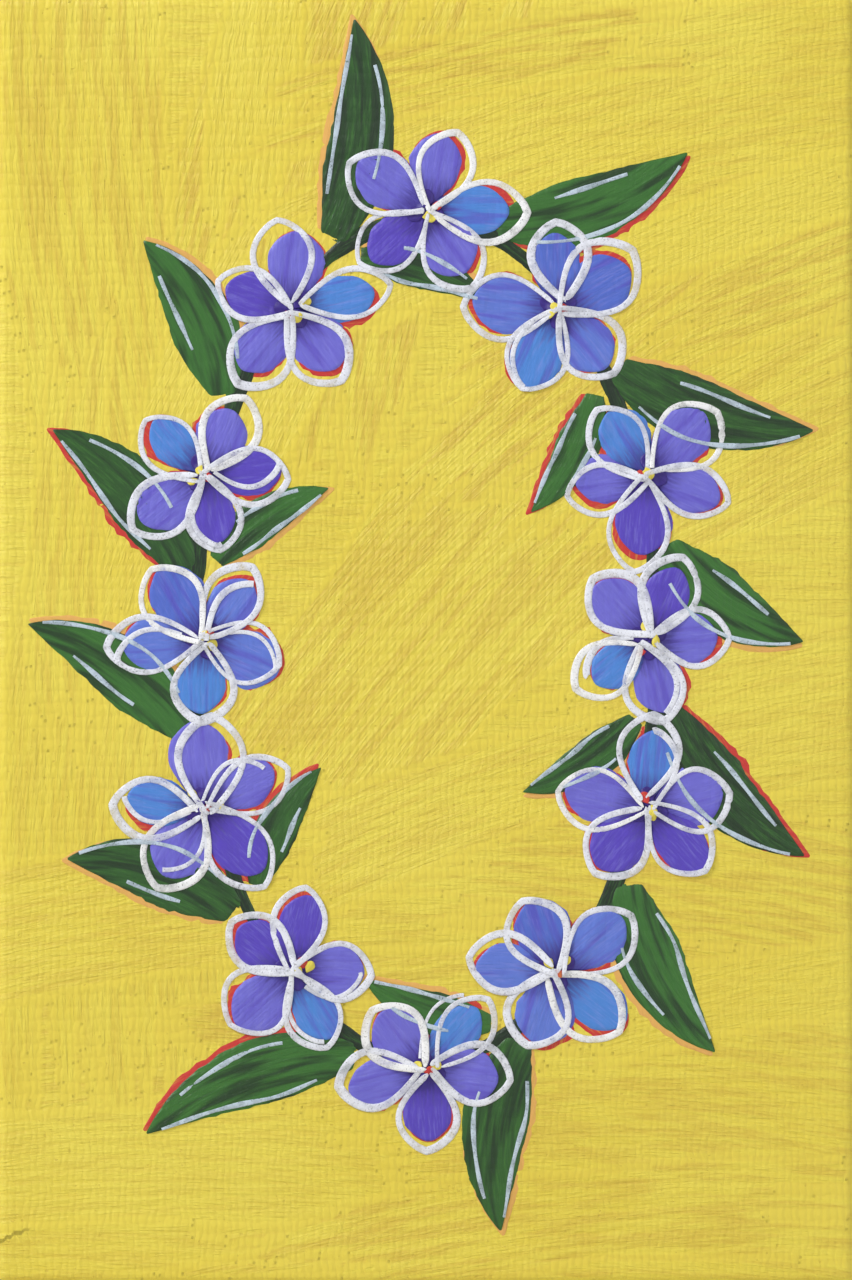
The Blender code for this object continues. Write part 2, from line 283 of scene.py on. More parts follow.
def group_node(tree, group, inputs):
    node = tree.tree.nodes.new("ShaderNodeGroup")
    node.node_tree = group
    for label, value in inputs.items():
        if isinstance(value, bpy.types.NodeSocket):
            tree.tree.links.new(value, node.inputs[label])
        else:
            node.inputs[label].default_value = value
    return node.outputs


def rgba(colour):
    return (*colour, 1.0)


# ---------------------------------------------------------------- materials

def ground_material(sizes, colours):
    """Brushed yellow acrylic: bristle lines along each stroke over a soft weave, with painted shade in the
    weave's hollows.
    """
    material, tree, shader = new_material("ground_acrylic", 0.46, 0.42)
    place = face_place(tree)
    along = tree.add("ShaderNodeAttribute", attribute_name="stroke").outputs["Vector"]
    worn = tree.add("ShaderNodeAttribute", attribute_name="worn").outputs["Fac"]
    streaks = group_node(tree, streak_group(), {"Place": along})
    clear = tree.add("ShaderNodeAttribute", attribute_name="clear").outputs["Fac"]
    lines = tree.mix(clear, 0.5, tree.ease(streaks["Fine"], 0.36, 0.66))
    broad = tree.mix(clear, 0.5, streaks["Broad"])
    cloud = tree.noise(place, 0.035, 3.0)
    colour = tree.blend(tree.math("MULTIPLY", tree.ease(cloud, 0.35, 0.7), 0.6),
                        rgba(colours.yellow), rgba(colours.lemon))
    colour = tree.blend(tree.math("MULTIPLY", lines, 0.40), colour, rgba(colours.lemon))
    thin = tree.math("MULTIPLY", tree.ease(broad, 0.40, 0.62), worn)
    thin = tree.math("MULTIPLY", thin, tree.mix(lines, 1.0, 0.45))
    colour = tree.blend(thin, colour, rgba(colours.ochre))
    weave = group_node(tree, weave_group(), {"Place": place, "Warp": sizes.warp_pitch / MM,
                                             "Weft": sizes.weft_pitch / MM})["Height"]
    fine = tree.mix(clear, 0.5, streaks["Fine"])
    height = tree.math("ADD", tree.math("MULTIPLY", fine, 0.20), tree.math("MULTIPLY", broad, 0.10))
    height = tree.math("ADD", height, tree.math("MULTIPLY", weave, 0.085))
    specks = tree.ease(tree.noise(place, 1.7, 1.0), 0.74, 0.79)
    height = tree.math("SUBTRACT", height, tree.math("MULTIPLY", specks, 0.05))
    # Painted shade: the weave's hollows are tinted a little towards ochre
    colour = tree.blend(tree.math("MULTIPLY", tree.ease(weave, 0.55, 0.15), 0.10), colour,
                        rgba(colours.ochre))
    colour = tree.blend(tree.math("MULTIPLY", specks, 0.35), colour, rgba(colours.ochre))
    tree.tree.links.new(colour, shader.inputs["Base Color"])
    bump(tree, shader, height)
    return material


def film_material(name, sizes, roughness, tints, relief):
    """Paint film with bristle streaks; tints(tree, streaks, tint) gives its colour."""
    material, tree, shader = new_material(name, roughness, 0.45)
    flat = tree.add("ShaderNodeUVMap", uv_map="flat").outputs[0]
    tint = tree.add("ShaderNodeAttribute", attribute_name="tint").outputs["Color"]
    seed = tree.add("ShaderNodeAttribute", attribute_name="turn").outputs["Fac"]
    u, v, _ = tree.split(flat)
    streaks = group_node(tree, streak_group(), {"Place": tree.join(u, v, seed)})
    colour = tints(tree, streaks, tint)
    tree.tree.links.new(colour, shader.inputs["Base Color"])
    weave = group_node(tree, weave_group(), {"Place": face_place(tree), "Warp": sizes.warp_pitch / MM,
                                             "Weft": sizes.weft_pitch / MM})["Height"]
    height = tree.math("ADD", tree.math("MULTIPLY", weave, 0.035),
                       tree.math("MULTIPLY", streaks["Fine"], relief))
    bump(tree, shader, height)
    return material


def petal_material(sizes, colours):
    def tints(tree, streaks, tint):
        along, _, _ = tree.split(tree.add("ShaderNodeUVMap", uv_map="flat").outputs[0])
        reach = tree.math("SUBTRACT", along, tree.math("MULTIPLY", streaks["Fine"], 5.0))
        root = tree.math("MULTIPLY", tree.ease(reach, 2.2, -1.2), 0.8)
        lit = tree.math("MULTIPLY", tree.ease(streaks["Fine"], 0.45, 0.75), 0.30)
        colour = tree.blend(lit, tint, rgba(linear(150, 150, 230)))
        dark = tree.math("MULTIPLY", tree.ease(streaks["Broad"], 0.52, 0.30), 0.55)
        colour = tree.blend(dark, colour, rgba(colours.deep_violet))
        return tree.blend(root, colour, rgba(colours.indigo))
    return film_material("petal_acrylic", sizes, 0.42, tints, 0.10)


def leaf_material(sizes, colours):
    def tints(tree, streaks, tint):
        fresh = tree.math("MULTIPLY", tree.ease(streaks["Fine"], 0.44, 0.72), 0.55)
        colour = tree.blend(fresh, tint, rgba(linear(62, 118, 44)))
        dark = tree.math("MULTIPLY", tree.ease(streaks["Broad"], 0.56, 0.34), 0.8)
        return tree.blend(dark, colour, rgba(colours.dark_green))
    return film_material("leaf_acrylic", sizes, 0.38, tints, 0.12)


def plain_film_material(sizes, colours):
    """Thin underpaint and dabs, in the colour that each carries."""
    def tints(tree, streaks, tint):
        thin = tree.math("MULTIPLY", tree.ease(streaks["Fine"], 0.50, 0.72), 0.45)
        return tree.blend(thin, tint, rgba(colours.ochre))
    return film_material("underpaint", sizes, 0.50, tints, 0.06)


def marker_material(name, colour):
    """Marker paint that runs thin and streaky, so that what it crosses shows through."""
    material, tree, shader = new_material(name, 0.40, 0.45)
    place = face_place(tree)
    thin = tree.noise(place, 0.55, 3.0, 0.6)
    grit = tree.noise(place, 4.5, 2.0, 0.6)
    cover = tree.mix(tree.ease(thin, 0.66, 0.40), 0.60, 0.97)
    cover = tree.math("SUBTRACT", cover, tree.math("MULTIPLY", tree.ease(grit, 0.56, 0.72), 0.45), True)
    tree.tree.links.new(cover, shader.inputs["Alpha"])
    shade = tree.blend(tree.math("MULTIPLY", tree.ease(grit, 0.35, 0.7), 0.18), rgba(colour),
                       rgba(tuple(c * 0.82 for c in colour)))
    tree.tree.links.new(shade, shader.inputs["Base Color"])
    bump(tree, shader, tree.math("MULTIPLY", grit, 0.04))
    return material


def cloth_material(sizes, colours):
    """Cotton weave, raw inside and primed where the brush reached the edges, with painted shade in the weave's
    hollows.
    """
    material, tree, shader = new_material("cotton_canvas", 0.86, 0.25)
    flat = tree.add("ShaderNodeUVMap", uv_map="flat").outputs[0]
    weave = group_node(tree, weave_group(), {"Place": flat, "Warp": sizes.warp_pitch / MM,
                                             "Weft": sizes.weft_pitch / MM})["Height"]
    primed = tree.add("ShaderNodeAttribute", attribute_name="primed").outputs["Fac"]
    across, up, depth = tree.split(face_place(tree))
    inside = tree.math("LESS_THAN", tree.math("ABSOLUTE", across), HALF_W - 0.9)
    low = tree.math("LESS_THAN", tree.math("ABSOLUTE", tree.math("SUBTRACT", up, HALF_H)), HALF_H - 0.9)
    behind = tree.math("GREATER_THAN", depth, 0.3 - HALF_T)
    inside = tree.math("MULTIPLY", tree.math("MULTIPLY", inside, low), behind)
    primed = tree.math("MULTIPLY", primed, tree.math("SUBTRACT", 1.0, inside))
    slub = tree.noise(flat, 0.6, 3.0)
    fibre = tree.noise(flat, 9.0, 2.0)
    raw = tree.blend(tree.ease(slub, 0.35, 0.7), rgba(colours.cloth), rgba(linear(206, 190, 160)))
    # Painted shade: the raw cloth turns dark brown in the weave's hollows
    raw = tree.blend(tree.ease(weave, 0.45, 0.10), raw, rgba(linear(150, 132, 104)))
    # Painted shade: the primer turns greyer in the weave's hollows
    prime = tree.blend(tree.math("MULTIPLY", tree.ease(weave, 0.4, 0.1), 0.4), rgba(colours.primer),
                       rgba(linear(206, 200, 186)))
    ragged = tree.math("ADD", primed, tree.math("MULTIPLY", tree.math("SUBTRACT", slub, 0.5), 0.9))
    colour = tree.blend(tree.ease(ragged, 0.42, 0.58), raw, prime)
    tree.tree.links.new(colour, shader.inputs["Base Color"])
    height = tree.math("ADD", tree.math("MULTIPLY", weave, 0.16), tree.math("MULTIPLY", fibre, 0.05))
    bump(tree, shader, height)
    return material


def thread_material(colours):
    material, tree, shader = new_material("cotton_thread", 0.9, 0.2)
    place = face_place(tree)
    colour = tree.blend(tree.noise(place, 2.0, 2.0), rgba(colours.cloth), rgba(linear(236, 228, 208)))
    tree.tree.links.new(colour, shader.inputs["Base Color"])
    bump(tree, shader, tree.math("MULTIPLY", tree.noise(place, 8.0, 1.0), 0.04))
    return material


def pine_material(name, colours, upright):
    """Planed softwood, its grain along the bar, with saw marks and a few dark lines."""
    material, tree, shader = new_material(name, 0.62, 0.3)
    x, z, y = tree.split(face_place(tree))
    along, across = (z, x) if upright else (x, z)
    bend = tree.noise(tree.join(tree.math("MULTIPLY", along, 0.02), 0.0), 1.0, 2.0)
    rings_at = tree.join(tree.math("MULTIPLY", along, 0.02),
                         tree.math("ADD", across, tree.math("MULTIPLY", bend, 6.0)), y)
    ring = tree.add("ShaderNodeTexWave", {"Vector": rings_at, "Scale": 0.17, "Distortion": 3.0,
                    "Detail": 3.0, "Detail Scale": 0.6}, bands_direction="Y").outputs["Fac"]
    pore = tree.noise(tree.join(tree.math("MULTIPLY", along, 0.10), tree.math("MULTIPLY", across, 2.6),
                                tree.math("MULTIPLY", y, 2.6)), 1.4, 4.0, 0.65)
    late = tree.math("MULTIPLY", tree.ease(ring, 0.55, 0.95), 0.45)
    colour = tree.blend(late, rgba(colours.pine), rgba(linear(190, 140, 86)))
    colour = tree.blend(tree.math("MULTIPLY", tree.ease(pore, 0.50, 0.78), 0.55), colour,
                        rgba(linear(168, 118, 70)))
    tree.tree.links.new(colour, shader.inputs["Base Color"])
    saw_at = tree.join(tree.math("MULTIPLY", along, 1.4), tree.math("MULTIPLY", across, 0.1), y)
    saw = tree.noise(saw_at, 1.0, 2.0)
    height = tree.math("ADD", tree.math("MULTIPLY", pore, 0.07), tree.math("MULTIPLY", saw, 0.03))
    bump(tree, shader, height)
    return material


def staple_material():
    """Bright wire with drawn lines and dull spots."""
    material, tree, shader = new_material("staple_wire", 0.32, 0.5, 1.0)
    place = face_place(tree)
    spot = tree.noise(place, 2.2, 3.0)
    colour = tree.blend(tree.ease(spot, 0.5, 0.75), rgba((0.66, 0.66, 0.67)), rgba((0.44, 0.42, 0.39)))
    tree.tree.links.new(colour, shader.inputs["Base Color"])
    tree.tree.links.new(tree.mix(spot, 0.22, 0.46), shader.inputs["Roughness"])
    bump(tree, shader, tree.math("MULTIPLY", tree.noise(place, 12.0, 2.0), 0.01))
    return material


# ---------------------------------------------------------------- shapes

class Grain:
    """Smooth repeatable noise on numbers, from seeded lattices."""

    def __init__(self, seed):
        self.table = np.random.default_rng(seed).random((256, 256))

    def __call__(self, u, v, step=1.0):
        u, v = np.broadcast_arrays(np.asarray(u, float) / step, np.asarray(v, float) / step)
        i, j = np.floor(u).astype(int), np.floor(v).astype(int)
        fu, fv = u - i, v - j
        fu, fv = fu * fu * (3 - 2 * fu), fv * fv * (3 - 2 * fv)
        at = lambda a, b: self.table[a % 256, b % 256]
        low = at(i, j) * (1 - fu) + at(i + 1, j) * fu
        high = at(i, j + 1) * (1 - fu) + at(i + 1, j + 1) * fu
        return (low * (1 - fv) + high * fv) * 2 - 1


class Relief:
    """How far paint stands in front of the cloth's face, in millimetres."""

    STEP = 0.25

    def __init__(self):
        self.across = int(2 * HALF_W / self.STEP) + 1
        self.up = int(2 * HALF_H / self.STEP) + 1
        self.field = np.zeros((self.across, self.up))

    def cell(self, x, z):
        i = np.clip(((np.asarray(x) + HALF_W) / self.STEP).round().astype(int), 0, self.across - 1)
        j = np.clip((np.asarray(z) / self.STEP).round().astype(int), 0, self.up - 1)
        return i, j

    def at(self, x, z):
        return self.field[self.cell(x, z)]

    def top(self, x, z, reach=1):
        """Highest paint within a few cells."""
        i, j = self.cell(x, z)
        found = np.full(np.shape(i), -1.0)
        for a in range(-reach, reach + 1):
            for b in range(-reach, reach + 1):
                near = self.field[np.clip(i + a, 0, self.across - 1), np.clip(j + b, 0, self.up - 1)]
                found = np.maximum(found, near)
        return found

    def lay(self, x, z, height):
        np.maximum.at(self.field, self.cell(x, z), height)


def smooth(value, start, end):
    t = np.clip((value - start) / (end - start), 0, 1)
    return t * t * (3 - 2 * t)


def finish_mesh(name, mesh, material, cad_nodes):
    """Link a finished mesh, and tell the frame what it is."""
    obj = bpy.data.objects.new(name, mesh)
    bpy.context.scene.collection.objects.link(obj)
    mesh.materials.clear()
    mesh.materials.append(material)
    for polygon in mesh.polygons:
        polygon.use_smooth = True
    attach(obj, BODY)
    if cad_nodes:
        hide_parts(*cad_nodes)
    return obj


def mesh_from(name, points, faces, flat=None, tint=None, turn=None):
    """Mesh from points in millimetres, with its flat coordinates and paint values."""
    mesh = bpy.data.meshes.new(name)
    mesh.from_pydata((np.asarray(points) * MM).tolist(), [], faces)
    mesh.update()
    if flat is not None:
        layer = mesh.uv_layers.new(name="flat")
        corners = np.zeros(len(mesh.loops), int)
        mesh.loops.foreach_get("vertex_index", corners)
        layer.data.foreach_set("uv", np.asarray(flat)[corners].astype(np.float32).ravel())
    if tint is not None:
        layer = mesh.color_attributes.new(name="tint", type="FLOAT_COLOR", domain="POINT")
        values = np.column_stack([np.asarray(tint, np.float32), np.ones(len(points), np.float32)])
        layer.data.foreach_set("color", values.ravel())
    if turn is not None:
        layer = mesh.attributes.new(name="turn", type="FLOAT", domain="POINT")
        layer.data.foreach_set("value", np.asarray(turn, np.float32))
    return mesh


def grid_faces(rows, columns, first=0):
    """Quads of a grid of points, rows one after another."""
    faces = []
    for i in range(rows - 1):
        for j in range(columns - 1):
            a = first + i * columns + j
            faces.append((a, a + 1, a + columns + 1, a + columns))
    return faces


def wreath_point(turn, off=0.0):
    """Point on the oval, turn from 0 to 1 clockwise from the top, and its outward heading."""
    even = 2 * math.pi * turn
    angle = even + OVAL_EVENNESS * math.sin(2 * even)
    across, up = math.sin(angle), math.cos(angle)
    heading = math.atan2(across / WREATH_HALF_W, up / WREATH_HALF_H)
    x = WREATH_HALF_W * across + off * math.sin(heading)
    z = HALF_H + WREATH_HALF_H * up + off * math.cos(heading)
    return x, z, heading


class Films:
    """Paint films gathered into one mesh and laid on the relief as they come."""

    def __init__(self, relief, grain):
        self.relief = relief
        self.grain = grain
        self.points, self.faces, self.flat, self.tint, self.turn = [], [], [], [], []

    def blade(self, root, heading, length, curl, profile, thickness, colour, seed,
              steps=34, lanes=12, ragged=0.05, shift=(0.0, 0.0)):
        """A stroke of paint that follows an arc; profile gives its half width along it."""
        share = (1 - np.cos(np.linspace(0, math.pi, steps + 1))) / 2
        fine = np.linspace(0, 1, 400)
        ahead = heading + curl * fine
        run_x = np.concatenate([[0], np.cumsum(np.sin(ahead[:-1] + curl / 800))]) / 399 * length
        run_z = np.concatenate([[0], np.cumsum(np.cos(ahead[:-1] + curl / 800))]) / 399 * length
        cx = root[0] + shift[0] + np.interp(share, fine, run_x)
        cz = root[1] + shift[1] + np.interp(share, fine, run_z)
        angle = heading + curl * share
        lane = np.sin(np.linspace(-math.pi / 2, math.pi / 2, lanes + 1))
        half = profile(share)
        rag_right = 1 + ragged * self.grain(share * length, seed * 3.1, 0.8)
        rag_left = 1 + ragged * self.grain(share * length, seed * 3.1 + 40, 0.8)
        reach = np.where(lane[None, :] > 0, rag_right[:, None], rag_left[:, None]) * lane[None, :]
        offset = half[:, None] * reach
        x = cx[:, None] + offset * np.cos(angle)[:, None]
        z = cz[:, None] - offset * np.sin(angle)[:, None]
        edge = 1 - np.abs(lane)[None, :] ** 5
        ends = smooth(share, 0, 0.05) * smooth(1 - share, 0, 0.03)
        ridge = 0.35 * np.exp(-((np.abs(lane)[None, :] - 0.86) / 0.09) ** 2)
        streaks = 0.16 * self.grain(share[:, None] * length * 0.12 + seed, offset, 0.55)
        body = np.clip(edge * (0.85 + streaks) + ridge * edge ** 0.5, 0, 2) * ends[:, None]
        height = self.relief.top(x, z) - 0.05 * (1 - np.clip(body * 4, 0, 1)) + thickness * body
        first = sum(len(p) for p in self.points)
        self.points.append(np.stack([x, -(HALF_T + height), z], -1).reshape(-1, 3))
        self.faces += [f[::-1] for f in grid_faces(steps + 1, lanes + 1, first)]
        flat = np.stack([np.broadcast_to(share[:, None] * length, x.shape), offset], -1)
        self.flat.append(flat.reshape(-1, 2))
        self.tint.append(np.tile(colour, (x.size, 1)))
        self.turn.append(np.full(x.size, seed % 97.0))
        return x, z, height

    def settle(self, laid):
        for x, z, height in laid:
            self.relief.lay(x, z, height)

    def mesh(self, name):
        mesh = mesh_from(name, np.concatenate(self.points), self.faces, np.concatenate(self.flat),
                         np.concatenate(self.tint), np.concatenate(self.turn))
        bm = bmesh.new()
        bm.from_mesh(mesh)
        bmesh.ops.dissolve_degenerate(bm, dist=1e-7, edges=bm.edges)
        bm.to_mesh(mesh)
        bm.free()
        return mesh


def leaf_profile(width):
    def half(share):
        rise = np.sin(np.minimum(1, share / 0.45) * math.pi / 2)
        return width / 2 * (0.34 + 0.66 * rise) * (1 - share ** 3) + 0.02
    return half


def petal_profile(width):
    def half(share):
        return width / 2 * np.sin(math.pi * np.clip(share, 0, 1) ** 1.4) ** 0.62 + 0.01
    return half


def leaf_list(sizes):
    """Every leaf's CAD node, root, heading, length, width and curl."""
    leaves = []
    length, width, lean, curl = OUTER_LEAF
    for k in range(12):
        x, z, heading = wreath_point((k + 0.42) / 12, 1.5)
        grown = length * (1 + 0.10 * math.sin(2.4 * k)) * (1 + 0.12 * abs(math.cos(heading)))
        leaves.append((f"painted_leaf_{k + 1:02d}", (x, z), heading + math.radians(lean),
                       grown, width, math.radians(curl)))
    length, width, lean, curl = INNER_LEAF
    for k in range(6):
        x, z, heading = wreath_point((k + 0.75) / 6, -2.0)
        leaves.append((f"painted_small_leaf_{k + 1}", (x, z), heading + math.pi - math.radians(lean),
                       length, width, math.radians(curl)))
    return leaves


def petal_list():
    """Every blossom's CAD node, and its petals' root, heading, length and width."""
    blossoms = []
    for k in range(BLOSSOMS):
        x, z, _ = wreath_point(k / BLOSSOMS, 1.1 * (-1) ** k)
        radius = BLOSSOM_R + 0.5 * math.sin(1.7 * k)
        petals = []
        for p in range(PETALS):
            heading = 0.9 * k + 0.2 + 2 * math.pi * p / PETALS + 0.10 * math.sin(5.3 * k + 2.1 * p)
            length = radius * (0.97 + 0.07 * math.sin(3.1 * k + 1.9 * p))
            width = radius * (0.66 + 0.07 * math.sin(2.3 * k + 3.7 * p))
            petals.append(((x, z), heading, length, width))
        blossoms.append((f"painted_blossom_{k + 1:02d}", petals))
    return blossoms


# ---------------------------------------------------------------- pieces

STATE = {}


def relief():
    if "relief" not in STATE:
        STATE["relief"] = Relief()
        STATE["grain"] = Grain(bpy.context.scene.canvas_sizes.seed)
    return STATE["relief"], STATE["grain"]


def wrap(s, t, lift):
    """Lay a flat point over the canvas: flat face, round arris, then down the edge."""
    flat_x, flat_z = HALF_W - ARRIS_R, HALF_H - ARRIS_R
    cx, cz = np.clip(s, -flat_x, flat_x), np.clip(t, -flat_z, flat_z)
    ex, ez = s - cx, t - cz
    past = np.hypot(ex, ez)
    safe = np.maximum(past, 1e-9)
    dx, dz = ex / safe, ez / safe
    bend = np.minimum(past / ARRIS_R, math.pi / 2)
    down = np.maximum(past - ARRIS_R * math.pi / 2, 0)
    out = (ARRIS_R + lift) * np.sin(bend)
    front = (ARRIS_R + lift) * np.cos(bend) - ARRIS_R - down
    return cx + dx * out, -(HALF_T + front), cz + dz * out + HALF_H


def ground_strokes(s, t, grain):
    """Height of the ground in millimetres, and each point's place along its stroke and wear."""
    height = 0.20 + 0.03 * grain(s, t, 6.0) + 0.012 * grain(s + 31, t, 1.6)
    z = t + HALF_H
    along = np.stack([s, t, np.zeros_like(s)], -1)
    worn = np.full_like(s, 0.3)
    for number, (x, up, turn, half_length, half_width, tint) in enumerate(STROKES):
        angle = math.radians(turn)
        u = (s - x) * math.cos(angle) + (z - up) * math.sin(angle)
        v = -(s - x) * math.sin(angle) + (z - up) * math.cos(angle) + 0.0022 * u * u
        lines = grain(u * 0.03 + 11 * number, v, 1.1) + 0.5 * grain(u * 0.05 + 5 * number, v + 9, 0.5)
        drag = 0.25 * lines + 0.2 * grain(u * 0.02, v * 0.4 + number, 1.0)
        length = np.abs(u) / half_length + drag
        width = np.abs(v) / half_width + 0.12 * grain(u * 0.08, np.full_like(u, number), 1.0)
        mask = smooth(length, 1.0, 0.75) * smooth(width, 1.0, 0.92)
        rim = np.exp(-((width - 0.97) / 0.035) ** 2) * smooth(length, 1.0, 0.75)
        height = height * (1 - mask) + mask * (0.21 + 0.022 * lines) + 0.05 * rim
        over = mask > 0.5
        along[over] = np.stack([u, v, np.full_like(u, 3.7 * number)], -1)[over]
        worn = worn * (1 - mask) + tint * mask
    # Bristle lines fade out where one stroke's coordinates meet the next one's
    owner = along[..., 2]
    clear = np.ones_like(s)
    for axis in (0, 1):
        jump = np.diff(owner, axis=axis) != 0
        meet = [slice(None), slice(None)]
        for part in (slice(1, None), slice(None, -1)):
            meet[axis] = part
            clear[tuple(meet)][jump] = 0
    return height, along, worn, clear


def make_ground(context):
    sizes, colours = context.scene.canvas_sizes, context.scene.paint_colours
    paint, grain = relief()
    wrap_by, step = sizes.paint_wrap / MM, sizes.ground_step / MM
    reach_s, reach_t = HALF_W - ARRIS_R + wrap_by, HALF_H - ARRIS_R + wrap_by
    s = np.linspace(-reach_s, reach_s, int(2 * reach_s / step) + 1)
    t = np.linspace(-reach_t, reach_t, int(2 * reach_t / (1.15 * step)) + 1)
    s, t = np.meshgrid(s, t, indexing="ij")
    height, along, worn, clear = ground_strokes(s, t, grain)
    past = np.hypot(np.maximum(np.abs(s) - HALF_W + ARRIS_R, 0), np.maximum(np.abs(t) - HALF_H + ARRIS_R, 0))
    limit = wrap_by * (0.72 + 0.22 * grain(s * 0.5, t * 0.5, 2.0) + 0.10 * grain(s, t, 0.6))
    kept = past < limit
    height *= smooth(past, limit, limit - 0.8)
    x, y, z = wrap(s, t, height)
    z = np.maximum(z, 0)
    paint.lay(x, z, height)
    paint.field[paint.field == 0] = float(np.median(height))
    columns = s.shape[1]
    faces = []
    for i in range(s.shape[0] - 1):
        for j in range(columns - 1):
            if kept[i, j] and kept[i + 1, j] and kept[i, j + 1] and kept[i + 1, j + 1]:
                a = i * columns + j
                faces.append((a, a + columns, a + columns + 1, a + 1))
    mesh = mesh_from("ground_paint", np.stack([x, y, z], -1).reshape(-1, 3), faces)
    layer = mesh.attributes.new(name="stroke", type="FLOAT_VECTOR", domain="POINT")
    layer.data.foreach_set("vector", along.astype(np.float32).ravel())
    layer = mesh.attributes.new(name="worn", type="FLOAT", domain="POINT")
    layer.data.foreach_set("value", worn.astype(np.float32).ravel())
    layer = mesh.attributes.new(name="clear", type="FLOAT", domain="POINT")
    layer.data.foreach_set("value", clear.astype(np.float32).ravel())
    bm = bmesh.new()
    bm.from_mesh(mesh)
    bmesh.ops.delete(bm, geom=[v for v in bm.verts if not v.link_faces], context="VERTS")
    bm.to_mesh(mesh)
    bm.free()
    finish_mesh("ground_paint", mesh, ground_material(sizes, colours), ["painted_ground"])


def make_underpaint(context):
    """Red and peach that was brushed in first and shows past the shapes' edges."""
    sizes, colours = context.scene.canvas_sizes, context.scene.paint_colours
    paint, grain = relief()
    films = Films(paint, grain)
    laid = []
    for number, (_, root, heading, length, width, curl) in enumerate(leaf_list(sizes)):
        side = (-1) ** number
        shift = (0.45 * side * math.cos(heading), -0.45 * side * math.sin(heading))
        peach = np.array(colours.peach if number % 3 else colours.red)
        laid.append(films.blade(root, heading, length + 0.5, curl, leaf_profile(width + 0.5), 0.05, peach,
                                50 + number, 40, 8, 0.10, shift))
    for number, (_, petals) in enumerate(petal_list()):
        shift = (0.35 * math.cos(2.2 * number), 0.35 * math.sin(2.2 * number))
        for p, (root, heading, length, width) in enumerate(petals):
            laid.append(films.blade(root, heading, length + 0.35, 0.0, petal_profile(width + 0.5), 0.05,
                                    np.array(colours.red), 90 + 7 * number + p, 20, 8, 0.12, shift))
    films.settle(laid)
    finish_mesh("red_underpaint", films.mesh("red_underpaint"), plain_film_material(sizes, colours), [])


def make_vine(context):
    """Thin stem painted round the oval."""
    sizes, colours = context.scene.canvas_sizes, context.scene.paint_colours
    paint, grain = relief()
    STATE["leaf_material"] = leaf_material(sizes, colours)
    films = Films(paint, grain)
    count, lanes = 420, 8
    turns = np.arange(count + 1) / count
    rows = np.array([wreath_point(turn) for turn in turns])
    lane = np.linspace(-1, 1, lanes + 1)
    half = 0.9 * (1 + 0.22 * grain(turns * 90, 3.0, 1.0))
    half[-1] = half[0]
    x = rows[:, 0, None] + half[:, None] * lane * np.sin(rows[:, 2, None])
    z = rows[:, 1, None] + half[:, None] * lane * np.cos(rows[:, 2, None])
    body = 1 - np.abs(lane) ** 4
    height = paint.at(x, z) + 0.14 * body - 0.05 * (body < 0.01)
    height[-1] = height[0]
    films.points.append(np.stack([x, -(HALF_T + height), z], -1).reshape(-1, 3))
    films.faces = grid_faces(count + 1, lanes + 1)
    run, offset = np.broadcast_arrays(turns[:, None] * OVAL_RUN, half[:, None] * lane)
    films.flat.append(np.stack([run, offset], -1).reshape(-1, 2))
    films.tint.append(np.tile(np.array(colours.dark_green), (x.size, 1)))
    films.turn.append(np.full(x.size, 5.0))
    films.settle([(x, z, height)])
    mesh = films.mesh("vine_paint")
    finish_mesh("vine_paint", mesh, STATE["leaf_material"], ["painted_vine"])


def make_leaves(context):
    sizes, colours = context.scene.canvas_sizes, context.scene.paint_colours
    paint, grain = relief()
    greens = (np.array(colours.green), np.array(colours.dark_green))
    for number, (node, root, heading, length, width, curl) in enumerate(leaf_list(sizes)):
        films = Films(paint, grain)
        share = 0.25 + 0.5 * (number * 0.618 % 1)
        green = greens[0] * (1 - share) + greens[1] * share if number % 2 else greens[0]
        laid = [films.blade(root, heading, length, curl, leaf_profile(width), 0.17, green, 11 + 3 * number,
                            48, 18, 0.045)]
        films.settle(laid)
        mesh = films.mesh(node.replace("painted", "brushed"))
        finish_mesh(mesh.name, mesh, STATE["leaf_material"], [node])


def make_blossoms(context):
    sizes, colours = context.scene.canvas_sizes, context.scene.paint_colours
    paint, grain = relief()
    material = petal_material(sizes, colours)
    palette = [np.array(c) for c in (colours.violet, colours.deep_violet, colours.violet, colours.blue)]
    for number, (node, petals) in enumerate(petal_list()):
        films = Films(paint, grain)
        laid = []
        for p, (root, heading, length, width) in enumerate(petals):
            pick = palette[(5 * number + 3 * p + number // 3) % len(palette)]
            if number % 4 == 1:
                pick = 0.5 * pick + 0.5 * palette[3]
            laid.append(films.blade(root, heading, length, 0.12 * math.sin(number + 2 * p),
                                    petal_profile(width), 0.20, pick, 200 + 11 * number + p, 30, 14, 0.05))
            films.settle(laid[-1:])
        root = petals[0][0]
        for p in range(3):
            heading = 2.1 * p + number
            laid.append(films.blade(root, heading, 2.4, 0.2, petal_profile(1.9), 0.10,
                                    np.array(colours.indigo), 400 + 5 * number + p, 14, 8, 0.10))
        films.settle(laid)
        mesh = films.mesh(node.replace("painted", "brushed"))
        finish_mesh(mesh.name, mesh, material, [node])


